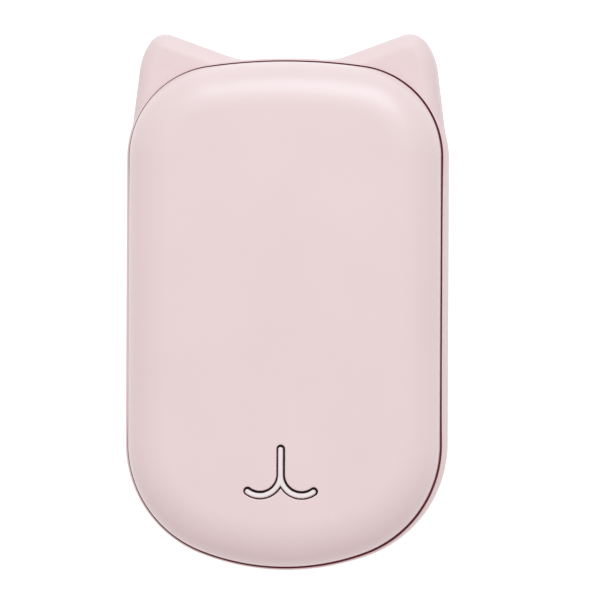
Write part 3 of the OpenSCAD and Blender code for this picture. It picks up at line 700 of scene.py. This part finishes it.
def cutter(skin, line, place, inwards, end, flare):
    """Adds a plug whose outer end follows the frame's surface with a rounded flare.

    place turns a line into points outside the surface, inwards is the way the hole
    runs, and end is how far the plug reaches from those outside points. Where the plug
    is shallow, the flare takes only a share of its depth."""
    inwards = Vector(inwards)

    def ring(by, depth):
        """The line grown sideways and laid at a share of the flare below the surface."""
        points = []
        for start in place(grown(line, by)):
            found = tree.ray_cast(Vector(start), inwards)[3]
            near = min(flare, flare_share * (end - found))
            points.append(Vector(start) + inwards * (found + depth * near))
        return points

    angles = np.radians(np.linspace(0, flare_sweep, flare_steps + 1))
    bends = [(flare * (1 - math.cos(t)), 1 - math.sin(t)) for t in angles]
    deep = [Vector(p) + inwards * end for p in place(line)]
    rings = [deep] + [ring(by, depth) for by, depth in bends]
    rings.append([Vector(p) for p in place(grown(line, bends[-1][0] + flare_past))])
    skin.solid(rings)


# %% Plugs for the socket pocket, the button and the lights
out_low, out_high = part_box("output_socket_shell")
in_low, in_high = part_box("input_socket_shell")
button_low, button_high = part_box("power_button")
light_low, light_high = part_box("status_lights")
outside = 3 * MM
outside_y = cover_low.y - outside
outside_x = -half_w - outside
socket_recess = 0.1 * MM
pocket_end = 1.1 * MM
pocket_h = 7.6 * MM
pocket_r = 1.6 * MM
pocket_flare = 0.15 * MM
pocket_w = in_high.x - out_low.x + 2 * pocket_end
pocket_x = ((out_low.x - pocket_end) + (in_high.x + pocket_end)) / 2
pocket_y = out_low.y - socket_recess
collar_w = 0.7 * MM
button_gap = 0.15 * MM
button_way = 4 * MM
button_flare = 0.2 * MM
button_centre = (button_low + button_high) / 2
button_l = button_high.y - button_low.y - 2 * collar_w
button_h = button_high.z - button_low.z - 2 * collar_w
light_d = 1.2 * MM
light_gap = 0.1 * MM
light_n = 4
light_chip_l = 1.2 * MM
light_flare = 0.08 * MM
light_hole_short = 1.5 * MM


def on_end(line):
    """Points outside the lower end, about the middle of the socket pocket."""
    return [(pocket_x + x, outside_y, mid_z + z) for x, z in line]


def on_left(y):
    """The same outside the left side, about a place along it."""
    return lambda line: [(outside_x, y + along, mid_z + z) for along, z in line]


plugs = Skin()
cutter(plugs, rounded(pocket_w, pocket_h, pocket_r), on_end, (0, 1, 0),
       pocket_y - outside_y, pocket_flare)
hole_l, hole_h = button_l + 2 * button_gap, button_h + 2 * button_gap
cutter(plugs, rounded(hole_l, hole_h, hole_h / 2, 20), on_left(button_centre.y), (1, 0, 0),
       frame_wall + button_way, button_flare)
for light_y in np.linspace(light_high.y - light_chip_l / 2, light_low.y + light_chip_l / 2,
                           light_n):
    cutter(plugs, circle(0, 0, light_d + 2 * light_gap, 40), on_left(light_y), (1, 0, 0),
           light_low.x - outside_x - light_hole_short, light_flare)
outer_plugs = plugs.build("outer_plugs")
check(outer_plugs)

# %% [markdown]
# ### Inside the frame
#
# The tray also has low ribs round the cell, four screw bosses under the board with
# their pilot holes, two ways for the rear heater's leads and the two socket openings.
# They are closed in for good, but the frame is one moulding and keeps them.

# %% Bosses and ribs
cell_low, cell_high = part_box("battery_cell")
board_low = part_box("main_board")[0]
screw_low, screw_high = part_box("board_screws")
boss_d = 4.2 * MM
pilot_gap = 0.03 * MM
screw_head_d = 3 * MM
cell_gap = 0.3 * MM
rib_t = 1 * MM
rib_h = 3 * MM
rib_share = 0.85
corner_part, end_part = 8, 3
sunk = 0.3 * MM


def prism(skin, line, low, high):
    """An upright prism over a closed line in the case's own place."""
    skin.solid([np.c_[line, np.full(len(line), z)] for z in (low, high)])


def rib(skin, x0, x1, y0, y1):
    """A low rib on the tray floor, sunk a little so that the two join."""
    corners = np.array([(x0, y0), (x1, y0), (x1, y1), (x0, y1)])
    prism(skin, corners, floor_top - sunk, floor_top + rib_h)


screw_spots = [(side * (screw_high.x - screw_head_d / 2), y) for side in (-1, 1)
               for y in (screw_low.y + screw_head_d / 2, screw_high.y - screw_head_d / 2)]
added = Skin()
for x, y in screw_spots:
    prism(added, circle(x, y, boss_d), screw_low.z - pilot_gap - floor_t, board_low.z)
rib_x = cell_high.x + cell_gap
rib_y = cell_low.y + 2 * rib_t
rib_l = (cell_high.y - cell_low.y) * rib_share
corner_l = (cell_high.x - cell_low.x) / corner_part
end_l = (cell_high.x - cell_low.x) / end_part
for side in (-1, 1):
    rib(added, side * rib_x, side * (rib_x + rib_t), rib_y, rib_y + rib_l)
    rib(added, side * (rib_x - corner_l), side * rib_x,
        cell_low.y - cell_gap - rib_t, cell_low.y - cell_gap)
rib(added, -end_l / 2, end_l / 2, cell_high.y + cell_gap, cell_high.y + cell_gap + rib_t)
added_parts = added.build("added_parts")
check(added_parts)

# %% Pilot holes, lead ways and socket openings
lead_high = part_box("rear_heater_leads")[1]
screw_d = 1.5 * MM
lead_x = 14.5 * MM
lead_d = 0.9 * MM
lead_way_d = 3.3 * MM
socket_gap = 0.2 * MM
socket_way = 4 * MM
out_corner_r = 0.3 * MM
past_face = 1 * MM
# A round end's radius is this much under half its width, so that its points stay apart.
hair = 1e-6


def along_y(skin, line, x, z, low, high):
    """A prism that runs along Y, over a line in the XZ plane."""
    skin.solid([np.c_[x + line[:, 0], np.full(len(line), y), z + line[:, 1]]
                for y in (low, high)])


holes = Skin()
for x, y in screw_spots:
    prism(holes, circle(x, y, screw_d + 2 * pilot_gap), screw_low.z - pilot_gap,
          board_low.z + past_face)
for side in (-1, 1):
    prism(holes, circle(side * lead_x, lead_high.y - lead_d / 2, lead_way_d),
          floor_low - past_face, floor_top + past_face)
for corner, opposite, radius in ((out_low, out_high, out_corner_r), (in_low, in_high, None)):
    centre = (corner + opposite) / 2
    w = opposite.x - corner.x + 2 * socket_gap
    h = opposite.z - corner.z + 2 * socket_gap
    along_y(holes, rounded(w, h, radius or h / 2 - hair), centre.x, centre.z,
            pocket_y - past_face, pocket_y + socket_way)
inner_holes = holes.build("inner_holes")
check(inner_holes)

# %% The finished frame
def combine(target, other, operation):
    """Joins or cuts with an exact boolean and keeps the result as the target's mesh."""
    step = target.modifiers.new(operation, "BOOLEAN")
    step.operation, step.solver, step.object = operation, "EXACT", other
    result = bpy.data.meshes.new_from_object(
        target.evaluated_get(bpy.context.evaluated_depsgraph_get()))
    target.modifiers.clear()
    target.data = result
    bpy.data.objects.remove(other)


combine(frame_shell, added_parts, "UNION")
combine(frame_shell, outer_plugs, "DIFFERENCE")
combine(frame_shell, inner_holes, "DIFFERENCE")
smooth(frame_shell.data, 30)
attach(frame_shell, "case")
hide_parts("middle_frame")
check(frame_shell)

# %% [markdown]
# ## The power button
#
# A pill-shaped cap with a rounded rim, which stands 0.15 mm out of the side. The
# collar behind it keeps it in its hole. The face is a touch fuller in the middle, made
# by a few smaller rings that rise towards it.

# %% Power button
collar_t = 0.9 * MM
cap_r = 0.35 * MM
cap_steps = 8
face_rise = 0.06 * MM
face_shares = (0.15, 0.35, 0.6, 0.8, 0.92)
button_out = button_low.x
collar_out = button_high.x - collar_t


def button_ring(shrink, x, width=0.0):
    """The cap's outline at a depth, made smaller by shrink or wider by a collar."""
    line = rounded(button_l + 2 * width - 2 * shrink, button_h + 2 * width - 2 * shrink,
                   (button_h + 2 * width) / 2 - shrink - hair, 24)
    return np.c_[np.full(len(line), x), button_centre.y + line[:, 0], mid_z + line[:, 1]]


rings = [button_ring(0, button_high.x, collar_w), button_ring(0, collar_out, collar_w),
         button_ring(0, collar_out)]
for t in quarter(cap_steps):
    rings.append(button_ring(cap_r * (1 - math.cos(t)),
                             button_out + face_rise + cap_r * (1 - math.sin(t))))
for share in face_shares:
    rings.append(button_ring(cap_r + (button_h / 2 - cap_r) * share,
                             button_out + face_rise * (1 - share) ** 2))
button_skin = Skin()
button_skin.solid(rings)
button_cap = button_skin.build("button_cap")
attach(button_cap, "button")
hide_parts("power_button")
check(button_cap)

# %% [markdown]
# ## Shader tools
#
# Materials are small node trees. An effect that several of them share, such as the fine
# grain of paint or the streaks of drawn metal, is a node group with named inputs, and
# each material uses it with values of its own. Groups only give heights, masks and
# colours. The shader itself stays in the material.

# %% Nodes and their inputs
def feed(tree_of, socket, value):
    """Links an output to an input, or writes a number or a colour into the input."""
    if isinstance(value, bpy.types.NodeSocket):
        tree_of.links.new(value, socket)
    elif socket.type == "RGBA":
        socket.default_value = (*value, 1)
    else:
        socket.default_value = value


def add(tree_of, kind, inputs=None, **settings):
    """A new node. inputs maps names or places of its inputs to outputs or values."""
    made = tree_of.nodes.new("ShaderNode" + kind)
    for key, value in settings.items():
        setattr(made, key, value)
    for key, value in (inputs or {}).items():
        feed(tree_of, made.inputs[key], value)
    return made


def maths(tree_of, operation, *values):
    """A sum with numbers or outputs."""
    return add(tree_of, "Math", dict(enumerate(values)), operation=operation).outputs[0]


def own_place(tree_of):
    """A point's place in the object's own space, in metres."""
    return add(tree_of, "TexCoord").outputs["Object"]


def noise(tree_of, vector, scale, detail, rough=0.5):
    """A noise texture read at a vector."""
    return add(tree_of, "TexNoise", {"Vector": vector, "Scale": scale, "Detail": detail,
                                     "Roughness": rough}).outputs["Fac"]


def remap(tree_of, value, low, high, to_low, to_high):
    """Maps a value from one range to another."""
    return add(tree_of, "MapRange", {"Value": value, "From Min": low, "From Max": high,
                                     "To Min": to_low, "To Max": to_high}).outputs["Result"]


def mixed(tree_of, share, *colours):
    """A colour between two."""
    made = add(tree_of, "Mix", {"Factor": share}, data_type="RGBA")
    for socket, colour in zip([s for s in made.inputs if s.type == "RGBA"], colours):
        feed(tree_of, socket, colour)
    return [s for s in made.outputs if s.type == "RGBA"][0]


# %% Groups
NOISE_LOW, NOISE_HIGH = 0.3, 0.7


def group(name, inputs, outputs):
    """A new shader group with its end nodes. inputs map names to a kind and a default."""
    made = bpy.data.node_groups.new(name, "ShaderNodeTree")
    for label, (kind, default) in inputs.items():
        socket = made.interface.new_socket(label, in_out="INPUT", socket_type="NodeSocket" + kind)
        socket.default_value = default
    for label, kind in outputs.items():
        made.interface.new_socket(label, in_out="OUTPUT", socket_type="NodeSocket" + kind)
    return made, made.nodes.new("NodeGroupInput").outputs, made.nodes.new("NodeGroupOutput").inputs


def swing(tree_of, spots):
    """A noise stretched to run from -1 to 1."""
    return remap(tree_of, spots, NOISE_LOW, NOISE_HIGH, -1, 1)


# %% [markdown]
# ### Satin grain
#
# Sprayed satin paint and fine moulded plastic are never dead smooth. A very fine grain
# breaks up the highlight, and a slow drift over centimetres keeps a large face from
# looking like one flat colour. Both come from noise in the object's own space, in
# metres, so the grain has a real size.

# %% Group: satin grain
drift_scale = 60
grain_roughness = 0.03
grain, given, out = group("satin_grain", {
    "Tone": ("Color", (0.8, 0.65, 0.66, 1)), "Drift": ("Float", 0.02),
    "Grain scale": ("Float", 2500.0), "Roughness": ("Float", 0.45)},
    {"Tone": "Color", "Roughness": "Float", "Height": "Float"})
where = own_place(grain)
slow = swing(grain, noise(grain, where, drift_scale, 2))
fine = noise(grain, where, given["Grain scale"], 3, 0.6)
brightness = maths(grain, "ADD", maths(grain, "MULTIPLY", slow, given["Drift"]), 1.0)
drifted = add(grain, "HueSaturation", {"Color": given["Tone"], "Value": brightness})
feed(grain, out["Tone"], drifted.outputs["Color"])
feed(grain, out["Roughness"], maths(grain, "MULTIPLY_ADD", swing(grain, fine),
                                    grain_roughness, given["Roughness"]))
feed(grain, out["Height"], fine)
print("group", grain.name, "nodes", len(grain.nodes))

# %% [markdown]
# ### Drawn metal
#
# Rolled or drawn sheet has fine streaks one way. The noise is read in a space that is
# squeezed along the streaks, which pulls its blobs out into lines.

# %% Group: drawn metal
streak_squeeze = (1, 0.04, 1)
streak_roughness = 0.08
drawn, given, out = group("drawn_metal", {
    "Streaks": ("Float", 9000.0), "Roughness": ("Float", 0.3)},
    {"Roughness": "Float", "Height": "Float"})
squeezed = add(drawn, "Mapping", {"Scale": streak_squeeze, "Vector": own_place(drawn)})
lines = noise(drawn, squeezed.outputs["Vector"], given["Streaks"], 4, 0.65)
feed(drawn, out["Roughness"], maths(drawn, "MULTIPLY_ADD", swing(drawn, lines),
                                    streak_roughness, given["Roughness"]))
feed(drawn, out["Height"], lines)
print("group", drawn.name, "nodes", len(drawn.nodes))

# %% [markdown]
# ## Materials
#
# A recipe starts an empty material, works out a colour, a roughness and a height that
# change over the surface, and wires them to the shader and its bump. What is the same
# all over is set on the shader's own inputs. `paint` is the recipe of all the pink
# surfaces and of other plain ones, such as tape and leads: the sprayed covers get a
# little coat, and the moulded plastic gets none.

# %% Recipes for painted, moulded and metal surfaces
bump_h = 0.02 * MM
patch_scale = 400
patch_shade = 0.86


def start(name):
    """An empty material and its node tree."""
    made = bpy.data.materials.new(name)
    made.use_nodes = True
    return made, made.node_tree


def surface(made, tone, rough, height, bump=0.1, metallic=0.0, coat=0.0, coat_rough=0.3,
            specular=0.5):
    """Wires a colour, a roughness and a height to the material's shader."""
    tree_of = made.node_tree
    lift = add(tree_of, "Bump", {"Strength": bump, "Distance": bump_h, "Height": height})
    inputs = tree_of.nodes["Principled BSDF"].inputs
    for label, value in (("Base Color", tone), ("Roughness", rough),
                         ("Normal", lift.outputs["Normal"]), ("Metallic", metallic),
                         ("Coat Weight", coat), ("Coat Roughness", coat_rough),
                         ("Specular IOR Level", specular)):
        feed(tree_of, inputs[label], value)
    return made


def paint(name, tone, roughness, drift=0.012, grain_scale=2600.0, **settings):
    """Satin pink or another grained colour."""
    made, tree_of = start(name)
    grained = add(tree_of, "Group", {"Tone": tone, "Drift": drift, "Grain scale": grain_scale,
                                     "Roughness": roughness}, node_tree=grain).outputs
    return surface(made, grained["Tone"], grained["Roughness"], grained["Height"], **settings)


def metal(name, tone, roughness, streaks=9000.0):
    """Drawn sheet or wire, a little darker in patches."""
    made, tree_of = start(name)
    streaked = add(tree_of, "Group", {"Streaks": streaks, "Roughness": roughness},
                   node_tree=drawn).outputs
    patches = noise(tree_of, own_place(tree_of), patch_scale, 3)
    shade = mixed(tree_of, patches, tuple(c * patch_shade for c in tone), tone)
    return surface(made, shade, streaked["Roughness"], streaked["Height"], bump=0.08,
                   metallic=1.0)


def dress(made, *objects, second=None):
    """Gives objects one material, or two. Clearing an empty list would reset the tags."""
    for each in objects:
        if each.data.materials:
            each.data.materials.clear()
        each.data.materials.append(made)
        if second:
            each.data.materials.append(second)


# %% [markdown]
# ### The pink pieces
#
# The covers are sprayed with a satin paint. Frame, ears and button are moulded in the same pink
# and slightly more matt. The mouth's insert is a shade lighter. The seam's groove and the gap
# round the mouth carry painted shade: a dark colour that hardly shines and stands in for the
# shadow in these narrow gaps.

# %% Pink materials
pink = (0.86, 0.646, 0.646)
pale_pink = (0.93, 0.8, 0.8)
seam_shade_tone = (0.3, 0.045, 0.07)
mouth_shade_tone = (0.03, 0.012, 0.014)
# Painted shade: these two dark colours stand in for the shadow in the seam's groove and in the gap
# round the mouth.
painted_seam_shade = paint("painted_seam_shade", seam_shade_tone, 0.6, drift=0.1, bump=0.2, specular=0.2)
painted_mouth_shade = paint("painted_mouth_shade", mouth_shade_tone, 0.6, drift=0.1, bump=0.2, specular=0.2)
cover_paint = paint("cover_paint", pink, 0.4, bump=0.05, coat=0.4)
frame_plastic = paint("frame_plastic", pink, 0.5, bump=0.08)
insert_plastic = paint("insert_plastic", pale_pink, 0.45, bump=0.05)
dress(cover_paint, front_shell, rear_shell, second=painted_seam_shade)
dress(frame_plastic, frame_shell, second=painted_seam_shade)
dress(frame_plastic, button_cap)
dress(insert_plastic, mouth_piece, second=painted_mouth_shade)
print("pink materials:", cover_paint.name, frame_plastic.name, insert_plastic.name)

# %% [markdown]
# ### Everything else
#
# The rest is carried over from the measured model and only needs a finish: adhesive in
# the seam, amber heater film with copper tracks, foam, the foil of the cell, the boards
# and their parts, leads, screws and the sockets, which show in the lower end.

# %% Recipes for speckled surfaces and boards
split_low, split_high = 0.45, 0.55
spot_roughness = 0.05
lacquer_scale = 900
lacquer_smooth, lacquer_rough = 0.28, 0.4


def speckled(name, tone, other, scale, roughness, bump=0.3, **settings):
    """Two colours split by a noise, such as foam, foil or a chip's moulding."""
    made, tree_of = start(name)
    spots = noise(tree_of, own_place(tree_of), scale, 4, 0.6)
    split = mixed(tree_of, remap(tree_of, spots, split_low, split_high, 0, 1), tone, other)
    rough = remap(tree_of, spots, 0, 1, roughness - spot_roughness, roughness + spot_roughness)
    return surface(made, split, rough, spots, bump=bump, **settings)


def board(name):
    """Green lacquer over copper lines, which a brick pattern lays out."""
    made, tree_of = start(name)
    where = own_place(tree_of)
    lines = add(tree_of, "TexBrick", {
        "Vector": where, "Scale": 260.0, "Mortar Size": 0.035, "Brick Width": 1.3,
        "Row Height": 0.24, "Color1": (0.012, 0.11, 0.045), "Color2": (0.014, 0.13, 0.055),
        "Mortar": (0.05, 0.22, 0.08)}, offset=0.37, squash=0.6, squash_frequency=3)
    rough = remap(tree_of, noise(tree_of, where, lacquer_scale, 2), 0, 1,
                  lacquer_smooth, lacquer_rough)
    return surface(made, lines.outputs["Color"], rough, lines.outputs["Fac"], bump=0.4,
                   coat=0.6, coat_rough=0.15)


# %% Finishes by slot
finishes = {
    "bond_tape": paint("bond_tape", (0.05, 0.03, 0.03), 0.6, bump=0.2),
    "heater_film": paint("heater_film", (0.62, 0.27, 0.05), 0.25, drift=0.05, bump=0.05,
                         coat=0.5),
    "heater_track": metal("heater_track", (0.78, 0.42, 0.24), 0.35),
    "foam": speckled("foam", (0.055, 0.055, 0.06), (0.1, 0.1, 0.11), 1400, 0.9, bump=0.8),
    "cell_foil": speckled("cell_foil", (0.62, 0.63, 0.65), (0.7, 0.71, 0.73), 350, 0.35,
                          metallic=1.0),
    "tin_plate": metal("tin_plate", (0.62, 0.62, 0.64), 0.28),
    "circuit_board": board("circuit_board"),
    "chip_black": speckled("chip_black", (0.018, 0.018, 0.02), (0.028, 0.028, 0.03), 3000, 0.6),
    "lead_red": paint("lead_red", (0.5, 0.015, 0.015), 0.4, drift=0.05),
    "lead_black": paint("lead_black", (0.015, 0.015, 0.016), 0.4, drift=0.05),
    "lead_grey": paint("lead_grey", (0.55, 0.55, 0.57), 0.4, drift=0.05),
    "sensor_glass": speckled("sensor_glass", (0.03, 0.02, 0.018), (0.07, 0.04, 0.03), 900, 0.2,
                             coat=0.8),
    "screw_steel": metal("screw_steel", (0.5, 0.5, 0.52), 0.3, streaks=15000.0),
    "socket_plastic": speckled("socket_plastic", (0.02, 0.02, 0.022), (0.03, 0.03, 0.032),
                               2500, 0.45),
    "contact_gold": metal("contact_gold", (0.83, 0.6, 0.25), 0.22),
    "light_white": speckled("light_white", (0.8, 0.78, 0.7), (0.75, 0.7, 0.4), 1500, 0.3),
    "guide_clear": paint("guide_clear", (0.86, 0.84, 0.83), 0.25, coat=0.4),
    "ferrite": speckled("ferrite", (0.05, 0.05, 0.052), (0.09, 0.09, 0.092), 2200, 0.7),
    "capacitor": speckled("capacitor", (0.42, 0.28, 0.16), (0.5, 0.36, 0.22), 1800, 0.5),
    "plunger_white": paint("plunger_white", (0.75, 0.75, 0.73), 0.5),
}
print("finishes:", len(finishes))

# %% Dress the carried-over pieces
slots = {part["node"]: part["material_slot"] for part in frame["record"]["subparts"]}
replaced = {"front_cover", "rear_cover", "middle_frame", "mouth_insert", "power_button"}
weld_gap = 0.001 * MM
rim_r = 0.06 * MM
rim_steps = 2
rim_angle = math.radians(50)
for node, made in frame["nodes"].items():
    if node in replaced:
        continue
    dress(finishes[slots[node]], made)
    weld = made.modifiers.new("weld", "WELD")
    weld.merge_threshold = weld_gap
    rim = made.modifiers.new("rim", "BEVEL")
    rim.width, rim.segments = rim_r, rim_steps
    rim.limit_method, rim.angle_limit = "ANGLE", rim_angle
print("carried-over pieces:", len(frame["nodes"]) - len(replaced))

# %% [markdown]
# ## Floor, light and background
#
# The object lies on its back on a wide white floor. A large soft lamp stands above the
# ears, which gives the pale band along the upper edge, and the white world fills in
# from all sides. That lamp is cool, so that the band is less pink than the flat face.
# To the camera and in reflections floor and world are a white backdrop, but for the
# light on the object they are dimmer, and the floor takes its shadow.

# %% Floor
floor_size = 3.0
floor_tone = (0.8, 0.8, 0.8)
floor_roughness = 0.9
floor_glow = 0.62
white = (1, 1, 1)


def backdrop_rays(tree_of):
    """1 for the rays that show floor and world as a white backdrop, 0 for the others."""
    seen = add(tree_of, "LightPath").outputs
    either = maths(tree_of, "MAXIMUM", seen["Is Camera Ray"], seen["Is Glossy Ray"])
    return maths(tree_of, "MAXIMUM", either, seen["Is Transmission Ray"])


floor = Skin()
half = floor_size / 2
floor.cap(floor.ring([(-half, -half, 0), (half, -half, 0), (half, half, 0), (-half, half, 0)]))
floor_sheet = floor.build("floor_sheet")
floor_white, tree_of = start("floor_white")
glow = maths(tree_of, "MULTIPLY", backdrop_rays(tree_of), floor_glow)
inputs = tree_of.nodes["Principled BSDF"].inputs
for label, value in (("Base Color", floor_tone), ("Roughness", floor_roughness),
                     ("Emission Color", white), ("Emission Strength", glow)):
    feed(tree_of, inputs[label], value)
dress(floor_white, floor_sheet)
print("floor in metres:", floor_size)

# %% World and lamps
world_level = 0.578
lamp_target = Vector((0, 0, 0))

world = bpy.data.worlds.new("white_room")
bpy.context.scene.world = world
world.use_nodes = True
tree_of = world.node_tree
sky = tree_of.nodes["Background"].inputs
feed(tree_of, sky["Color"], white)
feed(tree_of, sky["Strength"], remap(tree_of, backdrop_rays(tree_of), 0, 1, world_level, 1))


def lamp(name, place, size, power, tone):
    """A soft rectangular lamp that looks at the middle of the floor."""
    data = bpy.data.lights.new(name, "AREA")
    data.shape, data.size, data.size_y = "RECTANGLE", size[0], size[1]
    data.energy, data.color = power, tone
    made = bpy.data.objects.new(name, data)
    bpy.context.scene.collection.objects.link(made)
    made.location = place
    made.rotation_euler = (lamp_target - Vector(place)).to_track_quat("-Z", "Y").to_euler()


lamp("overhead_lamp", (0, 0.1, 1.3), (1.6, 1.6), 2.5, (1.0, 0.94, 0.93))
lamp("upper_lamp", (0.12, 0.85, 0.95), (0.9, 0.55), 7.5, (0.72, 0.95, 1.0))

# %% [markdown]
# ## Colour
#
# The Standard view shows a colour as it is written, without a film curve. The visual
# model has to stay inside the measured one.

# %% Colour view
bpy.context.scene.view_settings.view_transform = "Standard"
